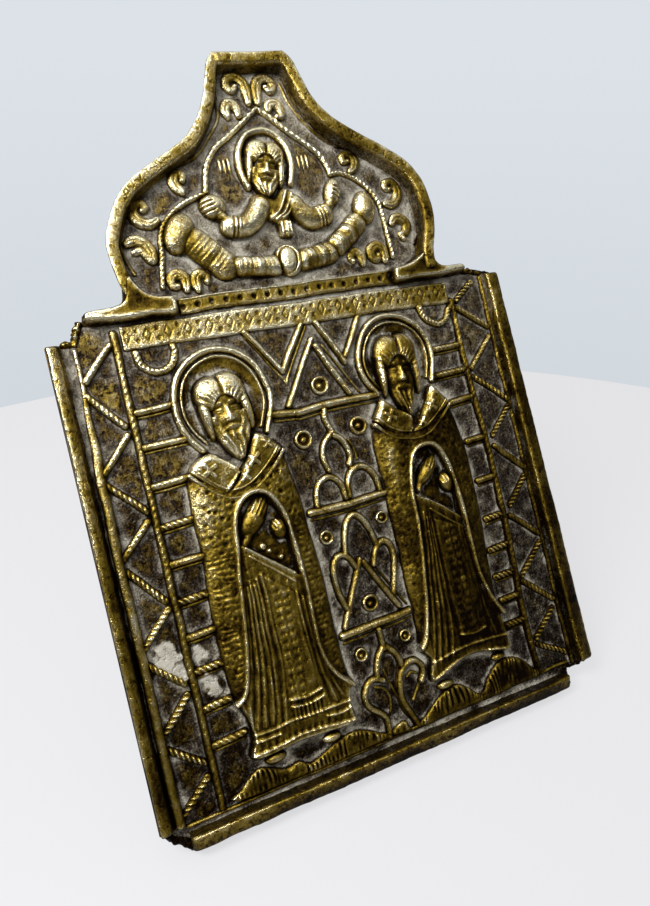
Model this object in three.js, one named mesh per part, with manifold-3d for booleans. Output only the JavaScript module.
// A cast brass travelling icon: a square panel with raised rims and open corners, under an ogee crest.
// Two standing bishops fill the panel, between rope ladders and zigzags. A half figure above a swag of
// cloud fills the crest. Every ornament is a low relief with a flat back, seated on the plates' front.
//
// Millimetres. +X is to the viewer's right, +Z is up and the front faces -Y. The origin is at the
// middle of the panel's back face. Shapes are drawn in a sheet frame first: x to the right, y up from
// the panel's lower edge, z out of the front face. The last group stands that sheet up.
import * as THREE from "three";
import { mergeVertices } from "three/addons/utils/BufferGeometryUtils.js";
import Module from "manifold-3d";

const wasm = await Module();
wasm.setup();

// Driving dimensions
const panelWidth = 86.4;
const panelHeight = 86.3;
const plateThickness = 1.8;
const crestWidth = 61;
const crestHeight = 43;
const crestLean = 1.2; // the tip leans over to the right
const rimWidth = 2;
const rimHeight = 2.4;
const crestRimHeight = 3.4;
const leftCrestRimHeight = 2.6; // that side of the crest is lower
const topBarHeight = 2.6;
const seatGap = 0.3; // clear space between two ornaments that meet

// Corner notches, where the rims stop short
const topNotchWidth = 5.6;
const topNotchHeight = 3.9;
const footNotchWidth = 6.2;
const footNotchHeight = 4;

// Channels and beads just inside the rims
const channelWidth = 2;
const footChannelWidth = 1.2;
const beadWidth = 0.5;
const beadHeight = 0.45;

// Bands under the crest
const titleHeight = 4.1;
const titleRelief = 0.6;
const dottedHeight = 2.5;
const dottedRelief = 0.8;
const stubLength = 8.6;
const stubHeight = 3.3;

// Rope posts, rungs and zigzags
const postWidth = 1.1;
const postRelief = 0.9;
const postInset = 11; // from the panel's edge to the middle of a post
const barWidth = 1;
const barRelief = 0.8;
const zigzagWidth = 0.8;
const leftRungCount = 10;
const rightRungCount = 10;
const zigzagCount = 15;

// Bishops
const leftRungLength = 4; // beside a bishop; above the shoulders the rungs run on to the nimbus
const rightRungLength = 4.8;
const bishopFootHeight = 6; // from the top of the bottom bead to a hem
const robePanelRelief = 1.9;
const robeRelief = 1.5;
const collarRelief = 2.1;
const cloakEdgeWidth = 1.1;
const headRelief = 2.5;
const nimbusWidth = 1.5;
const nimbusRelief = 1;

// Middle column
const columnWidth = 14.2;
const columnBarWidth = 1.2;
const columnRelief = 0.8;
const roundelRadius = 1.7;
const smallRoundelRadius = 1.3;
const roundelRelief = 0.9;
const loopWidth = 1;
const cornerLoopRadius = 3;
const hillRelief = 0.8;
const hillHeight = 4;

// Crest figures
const figureRelief = 2;
const puffRelief = 2;
const archWidth = 0.9;
const archRelief = 0.8;
const scrollWidth = 0.7;
const scrollRelief = 0.6;

// How finely curves are cut
const ringSteps = 30;
const curveSteps = 12;
const edgeSteps = 26;
const roundelSteps = 14;
const eggSteps = [12, 8];
const bevelSteps = 2;

// Places that follow from the sizes above
const halfPanel = panelWidth / 2;
const fieldEdge = halfPanel - rimWidth - channelWidth; // outer edge of the side beads
const fieldFoot = rimWidth + footChannelWidth; // lower edge of the bottom bead
const topBarFoot = panelHeight - rimWidth;
const seamHeight = panelHeight - rimWidth / 2; // panel and crest plates meet under the top bar
const titleTop = topBarFoot - seatGap;
const titleFoot = titleTop - titleHeight;
const bishopFoot = fieldFoot + beadWidth + bishopFootHeight;
const crestTop = panelHeight + crestHeight;
const postX = halfPanel - postInset;

// A bishop fills the width between a post's rungs and the middle column, and a nimbus is a share of
// that width. The shoulders lie a share of the nimbus's radius below its centre.
const nimbusShare = 0.415;
const shoulderShare = 0.81;
const leftBishopOuter = postX - leftRungLength - seatGap;
const rightBishopOuter = postX - rightRungLength - seatGap;
const bishopInner = columnWidth / 2 + seatGap;
const nimbusRadius = (rightBishopOuter - bishopInner) * nimbusShare;
const nimbusCentre = titleFoot - barWidth - 2 * seatGap - nimbusRadius;
const bishopHeight = nimbusCentre - shoulderShare * nimbusRadius - bishopFoot;

const crestX = (share) => (share * crestWidth) / 2;
const crestY = (share) => share * crestHeight;

// A point of the crest: a share of its half width from its leaning middle line, and of its height.
function crestPoint(widthShare, heightShare) {
  const middle = crestLean * heightShare ** 2;
  return [middle + crestX(widthShare), panelHeight + crestY(heightShare)];
}

// The crest's outline from its waist to its tip: how far it reaches to the right and to the left of
// the middle line, and how high that is. Its left shoulder slopes more than its right one.
const crestOutlineShares = [
  [0.934, 0.934, 0.02],
  [0.932, 0.932, 0.04],
  [0.943, 0.943, 0.086],
  [0.966, 0.966, 0.133],
  [0.985, 0.985, 0.18],
  [0.999, 0.991, 0.25],
  [0.992, 0.961, 0.32],
  [0.971, 0.916, 0.388],
  [0.938, 0.871, 0.435],
  [0.9, 0.824, 0.472],
  [0.847, 0.763, 0.505],
  [0.776, 0.687, 0.54],
  [0.702, 0.601, 0.574],
  [0.621, 0.519, 0.609],
  [0.544, 0.452, 0.644],
  [0.471, 0.405, 0.68],
  [0.419, 0.369, 0.714],
  [0.367, 0.333, 0.76],
  [0.328, 0.301, 0.812],
  [0.303, 0.279, 0.865],
  [0.283, 0.261, 0.912],
  [0.262, 0.246, 0.953],
  [0.225, 0.215, 0.985],
  [0.18, 0.18, 1],
];

// One side of the crest's outline, from its waist to its tip: 1 is the right side, -1 the left.
function crestSide(side) {
  return crestOutlineShares.map(([right, left, y]) => crestPoint(side > 0 ? right : -left, y));
}

// A line moved sideways, to the left of its own direction.
function moved(points, distance) {
  return points.map(([x, y], i) => {
    const [ax, ay] = points[Math.max(i - 1, 0)];
    const [bx, by] = points[Math.min(i + 1, points.length - 1)];
    const length = Math.hypot(bx - ax, by - ay);
    return [x - ((by - ay) / length) * distance, y + ((bx - ax) / length) * distance];
  });
}

// Solids

function geometryOf(solid) {
  const mesh = solid.getMesh();
  const geometry = new THREE.BufferGeometry();
  geometry.setAttribute(
    "position",
    new THREE.BufferAttribute(new Float32Array(mesh.vertProperties), 3),
  );
  geometry.setIndex(new THREE.BufferAttribute(new Uint32Array(mesh.triVerts), 1));
  const flat = geometry.toNonIndexed();
  flat.computeVertexNormals();
  return flat;
}

function solidOf(geometry) {
  const plain = geometry.clone();
  plain.deleteAttribute("normal");
  plain.deleteAttribute("uv");
  const merged = mergeVertices(plain);
  return new wasm.Manifold(
    new wasm.Mesh({
      numProp: 3,
      vertProperties: new Float32Array(merged.attributes.position.array),
      triVerts: new Uint32Array(merged.index.array),
    }),
  );
}

function joined(geometries) {
  let whole = solidOf(geometries[0]);
  for (const geometry of geometries.slice(1)) whole = whole.add(solidOf(geometry));
  return whole;
}

const overrun = 60;

// What of a solid stands in front of the sheet.
function inFront(solid) {
  const size = 2 * (panelHeight + crestHeight + overrun);
  const room = new THREE.BoxGeometry(size, size, overrun);
  room.translate(0, panelHeight / 2, overrun / 2);
  return solid.intersect(solidOf(room));
}

function plate(points, thickness) {
  const shape = new THREE.Shape(points.map(([x, y]) => new THREE.Vector2(x, y)));
  return new THREE.ExtrudeGeometry(shape, { depth: thickness, bevelEnabled: false });
}

function block(left, right, foot, top, thickness) {
  const corners = [
    [left, foot],
    [right, foot],
    [right, top],
    [left, top],
  ];
  return plate(corners, thickness);
}

// A flat-backed body whose outline is rounded over at the front.
function pillow(points, relief, roundShare = 0.45) {
  const shape = new THREE.Shape(points.map(([x, y]) => new THREE.Vector2(x, y)));
  const round = relief * roundShare;
  const geometry = new THREE.ExtrudeGeometry(shape, {
    depth: 2 * (relief - round),
    bevelThickness: round,
    bevelSize: round,
    bevelOffset: -round,
    bevelSegments: bevelSteps,
  });
  geometry.translate(0, 0, -(relief - round));
  return geometry;
}

// A strip with a rounded back that follows a line of points on the sheet.
const roundProfileShares = [
  [-0.5, 0],
  [-0.42, 0.55],
  [0, 1],
  [0.42, 0.55],
  [0.5, 0],
];
const rimProfileShares = [
  [-0.5, 0],
  [-0.5, 0.86],
  [-0.28, 1],
  [0.28, 1],
  [0.5, 0.8],
  [0.5, 0],
];
const mostMitreShare = 0.5; // how small a corner's cosine may get before its mitre stops growing

function strip(points, width, relief, { profile = roundProfileShares, closed = false } = {}) {
  const count = points.length;
  const ring = profile.length;
  const vertices = [];
  for (let i = 0; i < count; i++) {
    const here = new THREE.Vector2(...points[i]);
    const before = closed || i > 0 ? points[(i - 1 + count) % count] : points[i];
    const after = closed || i < count - 1 ? points[(i + 1) % count] : points[i];
    const arriving = here.clone().sub(new THREE.Vector2(...before)).normalize();
    const leaving = new THREE.Vector2(...after).sub(here).normalize();
    const along = arriving.clone().add(leaving).normalize();
    const across = new THREE.Vector2(-along.y, along.x);
    const reference = leaving.lengthSq() > 0 ? leaving : arriving;
    const mitre = 1 / Math.max(mostMitreShare, Math.abs(along.dot(reference)));
    for (const [side, up] of profile) {
      const offset = side * width * mitre;
      vertices.push(here.x + across.x * offset, here.y + across.y * offset, up * relief);
    }
  }
  const indices = [];
  const last = closed ? count : count - 1;
  for (let i = 0; i < last; i++) {
    for (let j = 0; j < ring; j++) {
      const a = i * ring + j;
      const b = i * ring + ((j + 1) % ring);
      const c = ((i + 1) % count) * ring + ((j + 1) % ring);
      const d = ((i + 1) % count) * ring + j;
      indices.push(a, b, c, a, c, d);
    }
  }
  if (!closed) {
    const end = (count - 1) * ring;
    for (let j = 1; j < ring - 1; j++) {
      indices.push(0, j + 1, j);
      indices.push(end, end + j, end + j + 1);
    }
  }
  const geometry = new THREE.BufferGeometry();
  geometry.setAttribute("position", new THREE.Float32BufferAttribute(vertices, 3));
  geometry.setIndex(indices);
  return geometry;
}

// A solid whose triangles may face inwards, turned to face out.
function outward(geometry) {
  const solid = solidOf(geometry);
  if (solid.volume() > 0) return geometry;
  const index = geometry.index.array;
  for (let i = 0; i < index.length; i += 3) {
    [index[i + 1], index[i + 2]] = [index[i + 2], index[i + 1]];
  }
  return geometry;
}

function ribbon(points, width, relief, options) {
  return outward(strip(points, width, relief, options));
}

// A smooth line through a few points.
function smooth(points, steps) {
  const curve = new THREE.CatmullRomCurve3(
    points.map(([x, y]) => new THREE.Vector3(x, y, 0)),
    false,
    "centripetal",
  );
  return curve.getPoints(steps).map((p) => [p.x, p.y]);
}

function arc(centre, radiusX, radiusY, from, to, steps) {
  const points = [];
  for (let i = 0; i <= steps; i++) {
    const angle = from + ((to - from) * i) / steps;
    points.push([
      centre[0] + radiusX * Math.cos(angle),
      centre[1] + radiusY * Math.sin(angle),
    ]);
  }
  return points;
}

// An egg lying on the sheet: half widths, relief and turn.
function egg(centre, halfWidth, halfHeight, relief, turn = 0) {
  const geometry = new THREE.SphereGeometry(1, ...eggSteps);
  geometry.rotateX(Math.PI / 2);
  geometry.scale(halfWidth, halfHeight, relief);
  geometry.rotateZ(turn);
  geometry.translate(centre[0], centre[1], 0);
  return geometry;
}

const parts = new THREE.Group();

const brass = { metalness: 1, roughness: 0.42 };
const paleBrass = new THREE.MeshStandardMaterial({ color: 0xb79a4e, ...brass });
const darkBrass = new THREE.MeshStandardMaterial({ color: 0x6e5b33, ...brass });

function addNode(name, geometry, material = paleBrass) {
  const mesh = new THREE.Mesh(geometry, material);
  mesh.name = name;
  parts.add(mesh);
  return mesh;
}

function addRelief(name, geometries) {
  const mesh = addNode(name, geometryOf(inFront(joined(geometries))));
  mesh.position.z = plateThickness;
}

// Plates

const panelOutline = [
  [-halfPanel, footNotchHeight],
  [-halfPanel + footNotchWidth / 2, footNotchHeight / 2],
  [-halfPanel + footNotchWidth - rimWidth, 0],
  [halfPanel - footNotchWidth, 0],
  [halfPanel - footNotchWidth, footNotchHeight],
  [halfPanel, footNotchHeight],
  [halfPanel, panelHeight - topNotchHeight],
  [halfPanel - topNotchWidth, seamHeight],
  [-halfPanel + topNotchWidth, seamHeight],
  [-halfPanel + topNotchWidth, panelHeight - topNotchHeight / 2],
  [-halfPanel + topNotchWidth - rimWidth / 2, panelHeight - topNotchHeight],
  [-halfPanel, panelHeight - topNotchHeight],
];
addNode("panel_plate", plate(panelOutline, plateThickness), darkBrass);

const rightCrest = crestSide(1);
const leftCrest = crestSide(-1).reverse();
const crestOutline = [
  [-halfPanel + topNotchWidth, seamHeight],
  [halfPanel - topNotchWidth, seamHeight],
  [halfPanel - topNotchWidth, panelHeight],
  [rightCrest[0][0], panelHeight],
  ...rightCrest,
  ...leftCrest,
  [leftCrest[leftCrest.length - 1][0], panelHeight],
  [-halfPanel + topNotchWidth, panelHeight],
];
addNode("crest_plate", plate(crestOutline, plateThickness), darkBrass);

// Rims

function sideRim(name, side) {
  const x = side * (halfPanel - rimWidth / 2);
  const line = [
    [x, footNotchHeight + seatGap],
    [x, panelHeight - topNotchHeight - seatGap],
  ];
  addRelief(name, [ribbon(line, rimWidth, rimHeight, { profile: rimProfileShares })]);
}
sideRim("left_rim", -1);
sideRim("right_rim", 1);

const footRimLine = [
  [-halfPanel + footNotchWidth - rimWidth + seatGap, rimWidth / 2],
  [halfPanel - footNotchWidth - seatGap, rimWidth / 2],
];
addRelief("bottom_rim", [
  ribbon(footRimLine, rimWidth, rimHeight, { profile: rimProfileShares }),
]);

// A bar runs along the panel's top on each side, and turns up in a stub inside the crest's foot.
const crestFootReach = (crestOutlineShares[0][0] * crestWidth) / 2;
const stubInner = crestFootReach - stubLength;
const stubOuter = crestFootReach - rimWidth - seatGap;
function addTopBar(name, side) {
  const barEnd = side * (halfPanel - topNotchWidth - seatGap);
  const inner = side * stubInner;
  const outer = side * stubOuter;
  const [left, right] = [barEnd, inner].sort((a, b) => a - b);
  const [stubLeft, stubRight] = [inner, outer].sort((a, b) => a - b);
  addRelief(name, [
    block(left, right, topBarFoot, panelHeight, topBarHeight),
    block(stubLeft, stubRight, topBarFoot, topBarFoot + stubHeight, topBarHeight),
  ]);
}
addTopBar("left_top_bar", -1);
addTopBar("right_top_bar", 1);

// Each half of the crest's rim runs from its foot to the tip, and widens inwards at the foot.
const crestFootShares = [
  [0.96, 0.19],
  [0.939, 0.18],
  [0.892, 0.117],
  [0.821, 0.067],
  [0.75, 0.047],
  [0.75, 0.042],
  [0.93, 0.042],
];
function addCrestRim(name, side, height) {
  const line = moved(crestSide(side), (side * rimWidth) / 2);
  const [footX] = line[0];
  const tip = [crestPoint(0, 1)[0] + (side * seatGap) / 2, crestTop - rimWidth / 2];
  const whole = [[footX, panelHeight + seatGap], ...line, tip];
  const foot = crestFootShares.map(([x, y]) => crestPoint(side * x, y));
  addRelief(name, [
    ribbon(whole, rimWidth, height, { profile: rimProfileShares }),
    plate(side > 0 ? foot.reverse() : foot, topBarHeight),
  ]);
}
addCrestRim("left_crest_rim", -1, leftCrestRimHeight);
addCrestRim("right_crest_rim", 1, crestRimHeight);

// Beads

function sideBead(name, side) {
  const x = side * (fieldEdge - beadWidth / 2);
  const line = [
    [x, fieldFoot + beadWidth + seatGap],
    [x, titleTop - titleHeight / 2],
  ];
  addRelief(name, [ribbon(line, beadWidth, beadHeight)]);
}
sideBead("left_bead", -1);
sideBead("right_bead", 1);

const footBeadEnd = halfPanel - footNotchWidth - seatGap;
addRelief("bottom_bead", [
  ribbon(
    [
      [-footBeadEnd, fieldFoot + beadWidth / 2],
      [footBeadEnd, fieldFoot + beadWidth / 2],
    ],
    beadWidth,
    beadHeight,
  ),
]);

// The crest's bead runs up each side, from above the foot to the neck.
const crestBeadInsetShare = 0.095; // of the crest's half width
const crestBeadFootShare = 0.1;
const crestBeadTopShare = 0.93;
const crestBeadInset = crestX(crestBeadInsetShare);
function addCrestBead(name, side) {
  const inner = moved(crestSide(side), side * crestBeadInset);
  const line = inner.filter((point, i) => {
    const [, , heightShare] = crestOutlineShares[i];
    return heightShare > crestBeadFootShare && heightShare < crestBeadTopShare;
  });
  addRelief(name, [ribbon(line, beadWidth, beadHeight)]);
}
addCrestBead("left_crest_bead", -1);
addCrestBead("right_crest_bead", 1);

// Bands

const titleEnd = postX - postWidth / 2 - seatGap;
addRelief("title_band", [
  pillow(
    [
      [-titleEnd, titleFoot],
      [titleEnd, titleFoot],
      [titleEnd, titleTop],
      [-titleEnd, titleTop],
    ],
    titleRelief,
  ),
]);

const dottedLeft = -stubInner + seatGap;
const dottedRight = stubInner - seatGap;
const dottedFoot = titleTop + seatGap;
addRelief("dotted_band", [
  pillow(
    [
      [dottedLeft, dottedFoot],
      [dottedRight, dottedFoot],
      [dottedRight, dottedFoot + dottedHeight],
      [(dottedLeft + dottedRight) / 2, dottedFoot + dottedHeight + seatGap],
      [dottedLeft, dottedFoot + dottedHeight],
    ],
    dottedRelief,
  ),
]);

// Bishops
// Points are shares of a bishop's width from the middle and of the height from the hem.
const leftRobeShares = [
  [-0.45, 0],
  [0.475, 0],
  [0.48, 0.064],
  [0.505, 0.183],
  [0.505, 0.478],
  [0.49, 0.626],
  [0.475, 0.753],
  [0.438, 0.866],
  [0.4, 0.957],
  [0.223, 0.993],
  [-0.213, 0.959],
  [-0.406, 0.912],
  [-0.465, 0.79],
  [-0.465, 0.626],
  [-0.505, 0.478],
  [-0.515, 0.293],
  [-0.48, 0.183],
  [-0.426, 0.127],
  [-0.426, 0.064],
];
const rightRobeShares = [
  [-0.49, 0.022],
  [-0.154, 0.058],
  [0.1, 0.062],
  [0.435, 0.034],
  [0.44, 0.245],
  [0.487, 0.478],
  [0.508, 0.626],
  [0.508, 0.79],
  [0.435, 0.94],
  [0.262, 1.02],
  [-0.293, 1.007],
  [-0.424, 0.935],
  [-0.49, 0.847],
  [-0.496, 0.736],
  [-0.496, 0.478],
  [-0.506, 0.239],
  [-0.52, 0.127],
];
const cloakEdgeShares = [
  [-0.44, 0.17],
  [-0.29, 0.42],
  [-0.22, 0.62],
  [-0.19, 0.75],
  [-0.1, 0.82],
  [0.02, 0.845],
  [0.14, 0.82],
  [0.23, 0.75],
  [0.27, 0.62],
  [0.26, 0.42],
  [0.24, 0.3],
  [0.34, 0.19],
  [0.46, 0.14],
];
const leftCollarShares = [
  [-0.45, 0.93],
  [-0.3, 0.84],
  [-0.08, 0.86],
  [-0.02, 0.9],
  [-0.22, 0.99],
];
const rightCollarShares = [
  [-0.2, 0.85],
  [0.02, 0.83],
  [0.25, 0.89],
  [0.41, 0.945],
  [0.18, 1.015],
  [0.05, 0.94],
];
// Hands: place, then half width and half height, all as shares.
const handShares = [
  [-0.03, 0.755, 0.07, 0.045],
  [0.15, 0.715, 0.06, 0.032],
];
const stoleSideShares = [-0.04, 0.13];
const stoleEndShares = [0.1, 0.55];
const hemShare = 0.05;
const hemReachShare = 0.42;
const footShares = [-0.3, 0.22];
const collarRoundShare = 0.3;

// A head and its beard, as shares of the nimbus's radius: place above the nimbus's centre,
// then half width and half height.
const headShares = [-0.18, 0.52, 0.71];
const beardShares = [-0.62, 0.31, 0.71];

function addBishop(name, side, outer, robeShares) {
  const reaches = robeShares.map(([x]) => side * x);
  const width = (outer - bishopInner) / (Math.max(...reaches) - Math.min(...reaches));
  const middle = side * (outer - Math.max(...reaches) * width);
  const at = ([x, y]) => [middle + x * width, bishopFoot + y * bishopHeight];
  const hemHeight = hemShare * bishopHeight;
  const robe = pillow(robeShares.map(at), robeRelief);
  const cloakEdge = ribbon(
    smooth(cloakEdgeShares.map(at), edgeSteps),
    cloakEdgeWidth,
    collarRelief,
  );
  const hem = ribbon(
    [at([-hemReachShare, hemShare]), at([hemReachShare, hemShare])],
    hemHeight,
    collarRelief,
  );
  const stole = block(
    ...stoleSideShares.map((share) => at([share, 0])[0]),
    ...stoleEndShares.map((share) => at([0, share])[1]),
    robePanelRelief,
  );
  const hands = handShares.map(([x, y, halfWidth, halfHeight]) =>
    egg(at([x, y]), halfWidth * width, halfHeight * bishopHeight, headRelief),
  );
  const [head, beard] = [headShares, beardShares].map(([place, halfWidth, halfHeight]) =>
    egg(
      [middle, nimbusCentre + place * nimbusRadius],
      halfWidth * nimbusRadius,
      halfHeight * nimbusRadius,
      headRelief,
    ),
  );
  const feet = footShares.map((share) =>
    egg(at([share, hemShare / 2]), hemHeight, hemHeight, robeRelief),
  );
  addRelief(name, [
    robe,
    cloakEdge,
    hem,
    stole,
    pillow(leftCollarShares.map(at), collarRelief, collarRoundShare),
    pillow(rightCollarShares.map(at), collarRelief, collarRoundShare),
    ...hands,
    head,
    beard,
    ...feet,
  ]);
  return middle;
}
const leftBishopX = addBishop("left_bishop", -1, leftBishopOuter, leftRobeShares);
const rightBishopX = addBishop("right_bishop", 1, rightBishopOuter, rightRobeShares);

// A nimbus is a ring that stops above the shoulders.
const nimbusLine = nimbusRadius - nimbusWidth / 2;
const collarTop = Math.max(...rightRobeShares.map(([, y]) => y));
const nimbusEnd = bishopFoot + bishopHeight * collarTop + seatGap + nimbusWidth / 2;
const nimbusStart = Math.asin(
  THREE.MathUtils.clamp((nimbusEnd - nimbusCentre) / nimbusLine, -1, 0),
);
function addNimbus(name, x) {
  const centre = [x, nimbusCentre];
  const line = arc(centre, nimbusLine, nimbusLine, nimbusStart, Math.PI - nimbusStart, ringSteps);
  addRelief(name, [ribbon(line, nimbusWidth, nimbusRelief)]);
}
addNimbus("left_nimbus", leftBishopX);
addNimbus("right_nimbus", rightBishopX);

// Ladders: a rope post with rungs that stop short of the bishop beside it.

const postFoot = fieldFoot + beadWidth + seatGap;
const postTop = titleTop;
const rungFootShare = 0.172;
const rungTopShare = 0.812;

// How far a rung runs: to the robe, or above the shoulders to the nimbus.
function rungReach(side, y) {
  const robe = side < 0 ? -leftBishopOuter : rightBishopOuter;
  const nimbus = (side < 0 ? leftBishopX : rightBishopX) + side * nimbusRadius;
  return (y > bishopFoot + bishopHeight ? nimbus : robe) + side * seatGap;
}

function addLadder(name, side, count) {
  const post = ribbon(
    [
      [side * postX, postFoot],
      [side * postX, postTop],
    ],
    postWidth,
    postRelief,
  );
  const rungs = [];
  for (let i = 0; i < count; i++) {
    const share = rungFootShare + ((rungTopShare - rungFootShare) * i) / (count - 1);
    const y = share * panelHeight;
    rungs.push(
      ribbon(
        [
          [side * postX, y],
          [rungReach(side, y), y],
        ],
        barWidth,
        barRelief,
      ),
    );
  }
  addRelief(name, [post, ...rungs]);
}
addLadder("left_ladder", -1, leftRungCount);
addLadder("right_ladder", 1, rightRungCount);

// Zigzags between the posts and the side beads.

function addZigzag(name, side) {
  const inner = postX + postWidth / 2 + seatGap + barWidth / 2;
  const outer = fieldEdge - beadWidth - seatGap - barWidth;
  const points = [];
  for (let i = 0; i <= zigzagCount; i++) {
    const share = i / zigzagCount;
    const reach = i % 2 === 0 ? outer : inner + barWidth / 2;
    const y = postFoot + barWidth + (titleTop - postFoot - 2 * barWidth) * share;
    points.push([side * reach, y]);
  }
  addRelief(name, [ribbon(points, zigzagWidth, barRelief)]);
}
addZigzag("left_zigzag", -1);
addZigzag("right_zigzag", 1);

// Half rings that hang from the title band, in its corners, a little longer than wide.
const loopDropShare = 1.25;

function addCornerLoop(name, side) {
  const centre = [side * (postX - postWidth - seatGap - cornerLoopRadius), titleFoot];
  const reach = cornerLoopRadius - loopWidth / 2;
  const line = arc(centre, reach, reach * loopDropShare, Math.PI, 2 * Math.PI, curveSteps);
  const lowered = line.map(([x, y]) => [x, y - seatGap]);
  addRelief(name, [ribbon(lowered, loopWidth, barRelief)]);
}
addCornerLoop("left_corner_loop", -1);
addCornerLoop("right_corner_loop", 1);

// Middle column, in shares of its half width from the middle and of the field's height.
const columnFoot = fieldFoot + beadWidth + seatGap;
const columnHeight = titleFoot - columnFoot;
function column(points) {
  return points.map(([x, y]) => [(x * columnWidth) / 2, columnFoot + y * columnHeight]);
}

function columnRibbon(shares, steps = 0) {
  const points = column(shares);
  const line = steps ? smooth(points, steps) : points;
  return ribbon(line, loopWidth, columnRelief);
}

function columnBar(height, fromShare = -1, toShare = 1) {
  return ribbon(
    column([
      [fromShare, height],
      [toShare, height],
    ]),
    columnBarWidth,
    columnRelief,
  );
}

addRelief("upper_gable", [
  columnBar(0.796),
  columnRibbon([
    [-0.83, 0.8],
    [0, 0.955],
    [0.83, 0.8],
  ]),
  columnRibbon([
    [-1.02, 0.985],
    [-0.68, 0.87],
    [0, 0.975],
    [0.68, 0.87],
    [1.02, 0.985],
  ]),
]);

addRelief("upper_trefoil", [
  columnBar(0.554),
  columnRibbon(
    [
      [-0.8, 0.56],
      [-0.72, 0.6],
      [-0.42, 0.64],
      [-0.12, 0.6],
      [-0.04, 0.56],
    ],
    curveSteps,
  ),
  columnRibbon(
    [
      [0.04, 0.56],
      [0.12, 0.6],
      [0.46, 0.645],
      [0.76, 0.6],
      [0.84, 0.56],
    ],
    curveSteps,
  ),
  columnRibbon(
    [
      [-0.22, 0.62],
      [-0.3, 0.69],
      [0, 0.745],
      [0.3, 0.69],
      [0.22, 0.62],
    ],
    curveSteps,
  ),
]);

addRelief("lower_gable", [
  columnBar(0.265),
  columnRibbon([
    [-0.75, 0.268],
    [0, 0.42],
    [0.75, 0.268],
  ]),
  columnRibbon(
    [
      [-0.7, 0.3],
      [-0.82, 0.39],
      [-0.5, 0.45],
      [-0.22, 0.4],
      [-0.2, 0.36],
    ],
    curveSteps,
  ),
  columnRibbon(
    [
      [0.7, 0.3],
      [0.84, 0.39],
      [0.55, 0.45],
      [0.26, 0.4],
      [0.2, 0.36],
    ],
    curveSteps,
  ),
  columnRibbon(
    [
      [-0.36, 0.43],
      [-0.18, 0.48],
      [0.08, 0.525],
      [0.34, 0.48],
      [0.44, 0.43],
    ],
    curveSteps,
  ),
]);

addRelief("foot_petals", [
  columnRibbon(
    [
      [-0.1, 0.25],
      [-0.12, 0.22],
      [-0.28, 0.165],
      [-0.16, 0.1],
      [-0.2, 0.03],
    ],
    curveSteps,
  ),
  columnRibbon(
    [
      [-0.06, 0.22],
      [0.3, 0.19],
      [0.26, 0.14],
      [0.16, 0.08],
      [0.3, 0.012],
    ],
    curveSteps,
  ),
  columnRibbon(
    [
      [0.3, 0.012],
      [0.5, 0.07],
      [0.8, 0.115],
      [0.6, 0.15],
      [0.34, 0.13],
      [0.2, 0.09],
    ],
    curveSteps,
  ),
  columnRibbon(
    [
      [-0.2, 0.03],
      [-0.5, 0.08],
      [-0.72, 0.11],
      [-0.56, 0.14],
      [-0.3, 0.13],
      [-0.2, 0.08],
    ],
    curveSteps,
  ),
]);

// Roundels: a small dome inside a ring, as shares of the radius and of the relief.
const roundelProfileShares = [
  [0, 0],
  [1, 0],
  [0.94, 0.6],
  [0.8, 0.75],
  [0.62, 0.35],
  [0.4, 0.85],
  [0, 1],
];
function addRoundel(name, [xShare, yShare], radius) {
  const [[x, y]] = column([[xShare, yShare]]);
  const profile = roundelProfileShares.map(
    ([reach, rise]) => new THREE.Vector2(reach * radius, rise * roundelRelief),
  );
  const geometry = new THREE.LatheGeometry(profile, roundelSteps);
  geometry.rotateX(Math.PI / 2);
  geometry.translate(x, y, 0);
  addRelief(name, [geometry]);
}
addRoundel("gable_roundel", [0, 0.855], smallRoundelRadius);
addRoundel("upper_left_roundel", [-0.62, 0.73], roundelRadius);
addRoundel("upper_right_roundel", [0.68, 0.73], roundelRadius);
addRoundel("middle_left_roundel", [-0.66, 0.5], smallRoundelRadius);
addRoundel("middle_right_roundel", [0.72, 0.5], smallRoundelRadius);
addRoundel("lower_gable_roundel", [0, 0.32], smallRoundelRadius);
addRoundel("lower_left_roundel", [-0.6, 0.215], smallRoundelRadius);
addRoundel("lower_right_roundel", [0.64, 0.215], smallRoundelRadius);

// Hills under the bishops.
const hillShares = [
  [0, 0],
  [1, 0],
  [0.96, 0.4],
  [0.85, 0.85],
  [0.7, 1],
  [0.55, 0.7],
  [0.48, 0.55],
  [0.36, 0.9],
  [0.2, 0.95],
  [0.06, 0.5],
];
function addHill(name, from, to) {
  const foot = fieldFoot + beadWidth + seatGap;
  const points = hillShares.map(([x, y]) => [from + (to - from) * x, foot + hillHeight * y]);
  addRelief(name, [pillow(points, hillRelief)]);
}
const hillReach = postX - postWidth / 2 - seatGap;
const hillInner = columnWidth / 2;
addHill("left_hill", -hillReach, -hillInner);
addHill("right_hill", hillInner, hillReach);

// Crest ornaments, in shares of the crest's half width and height.
const crest = (points) => points.map(([x, y]) => crestPoint(x, y));

// Sizes of the crest's figure are shares of the crest's half width and of its height.
const crestNimbusPlaceShares = [0, 0.54];
const crestNimbusSizeShares = [0.18, 0.15];
const crestNimbusTurnShare = 0.2; // how far the ring runs on below its middle, of half a turn
const [ringX, ringY] = crestNimbusSizeShares;
addRelief("crest_nimbus", [
  ribbon(
    arc(
      crestPoint(...crestNimbusPlaceShares),
      crestX(ringX) - archWidth / 2,
      crestY(ringY) - archWidth / 2,
      -Math.PI * crestNimbusTurnShare,
      Math.PI * (1 + crestNimbusTurnShare),
      ringSteps,
    ),
    archWidth,
    archRelief,
  ),
]);

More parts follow.
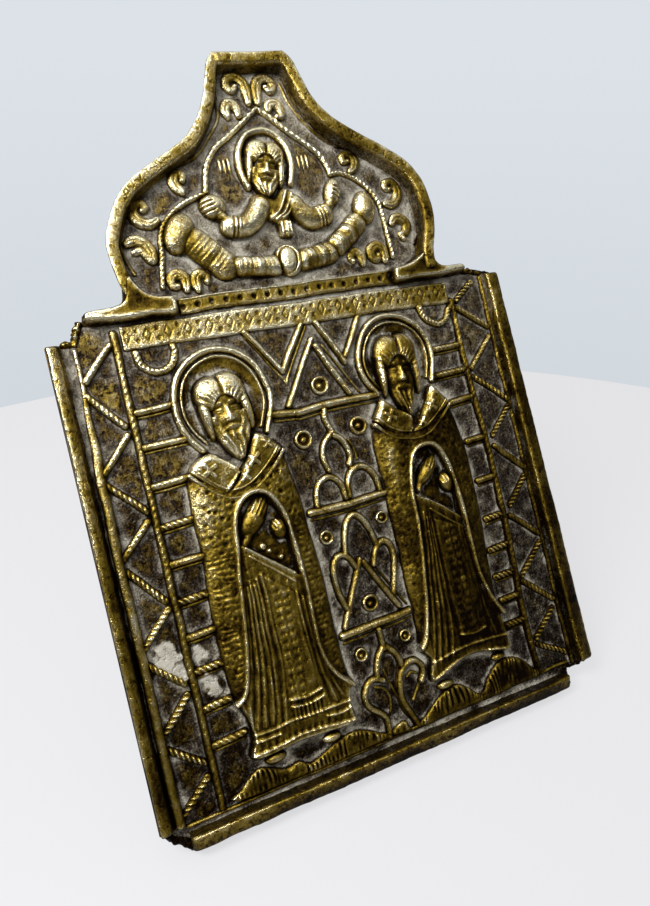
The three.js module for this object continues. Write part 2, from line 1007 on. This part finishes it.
// A limb is a chain of eggs that overlap along a line.
const eggReachShare = 1.25;
function limb(points, radius, relief) {
  const pieces = [];
  for (let i = 0; i < points.length - 1; i++) {
    const [ax, ay] = points[i];
    const [bx, by] = points[i + 1];
    const halfLength = Math.hypot(bx - ax, by - ay) / 2;
    const turn = Math.atan2(by - ay, bx - ax);
    const middle = [(ax + bx) / 2, (ay + by) / 2];
    pieces.push(egg(middle, halfLength * eggReachShare, radius, relief, turn));
  }
  return pieces;
}

// Head, shoulders and chest: place, then half width, half height and share of the relief.
const crestBodyShares = [
  [0, 0.53, 0.07, 0.077, 1],
  [0, 0.4, 0.115, 0.09, 0.9],
  [0, 0.32, 0.1, 0.075, 0.6],
];
const armShares = [
  [0.06, 0.37],
  [0.17, 0.33],
  [0.31, 0.3],
  [0.38, 0.36],
  [0.385, 0.42],
];
const sleeveShare = 0.055;
const sleeve = crestX(sleeveShare);
addRelief("crest_figure", [
  ...crestBodyShares.map(([x, y, halfWidth, halfHeight, relief]) =>
    egg(crestPoint(x, y), crestX(halfWidth), crestY(halfHeight), figureRelief * relief),
  ),
  ...limb(crest(armShares), sleeve, figureRelief),
  ...limb(crest(armShares.map(([x, y]) => [-x, y])), sleeve, figureRelief),
]);

const swagShares = [
  [-0.585, 0.32],
  [-0.54, 0.24],
  [-0.46, 0.18],
  [-0.37, 0.135],
  [-0.24, 0.115],
  [-0.12, 0.105],
  [0, 0.1],
  [0.12, 0.115],
  [0.24, 0.13],
  [0.34, 0.165],
  [0.43, 0.21],
  [0.52, 0.26],
  [0.575, 0.3],
];
const puffShare = 0.063;
addRelief("cloud_swag", limb(crest(swagShares), crestX(puffShare), puffRelief));

const archShares = [
  [0.66, 0.045],
  [0.68, 0.15],
  [0.665, 0.26],
  [0.61, 0.345],
  [0.53, 0.4],
  [0.445, 0.43],
  [0.385, 0.47],
  [0.355, 0.54],
  [0.27, 0.62],
  [0.13, 0.7],
  [0, 0.755],
];
const archRight = crest(archShares);
const archLeft = crest(archShares.map(([x, y]) => [-x, y]).slice(0, -1)).reverse();
addRelief("crest_arch", [
  ribbon([...archRight, ...archLeft], archWidth, archRelief),
]);

// Leafy scrolls: each winds out of its eye by most of a turn.
const scrollRadiusShare = 0.045; // of the crest's half width
const eyeShare = 0.55;
const windShare = 0.88;
function scrollLine([x, y], size, startShare, hand) {
  const points = [];
  for (let i = 0; i <= curveSteps; i++) {
    const t = i / curveSteps;
    const angle = 2 * Math.PI * (startShare + hand * windShare * t);
    const reach = size * (eyeShare + (1 - eyeShare) * t);
    points.push([x + reach * Math.cos(angle), y + reach * Math.sin(angle)]);
  }
  return points;
}

// Each scroll: its place in shares, where it starts as a share of a turn, and its hand.
const scrollShares = [
  ["tip_left_scroll", -0.1, 0.88, 0.55, -1],
  ["tip_right_scroll", 0.12, 0.88, 0.95, 1],
  ["brow_left_leaf", -0.13, 0.785, 0.2, 1],
  ["brow_right_leaf", 0.14, 0.785, 0.3, -1],
  ["shoulder_left_scroll", -0.53, 0.465, 0.6, -1],
  ["shoulder_right_scroll", 0.525, 0.495, 0.9, 1],
  ["side_left_scroll", -0.755, 0.35, 0.6, -1],
  ["side_right_scroll", 0.785, 0.37, 0.9, 1],
  ["cheek_left_scroll", -0.825, 0.24, 0.9, 1],
  ["cheek_right_scroll", 0.8, 0.22, 0.6, -1],
  ["foot_left_scroll", -0.6, 0.09, 0.7, 1],
  ["foot_left_leaf", -0.49, 0.085, 0.8, -1],
  ["foot_right_leaf", 0.455, 0.09, 0.7, 1],
  ["foot_right_scroll", 0.58, 0.1, 0.8, -1],
];
for (const [name, x, y, startShare, hand] of scrollShares) {
  const line = scrollLine(
    crestPoint(x, y),
    crestX(scrollRadiusShare),
    startShare,
    hand,
  );
  addRelief(name, [ribbon(line, scrollWidth, scrollRelief)]);
}

// Stand the sheet up: the front turns to -Y, and the origin goes to the middle of the panel's back.
parts.rotation.x = Math.PI / 2;
parts.position.z = -panelHeight / 2;

const icon = new THREE.Group();
icon.add(parts);

export default icon;
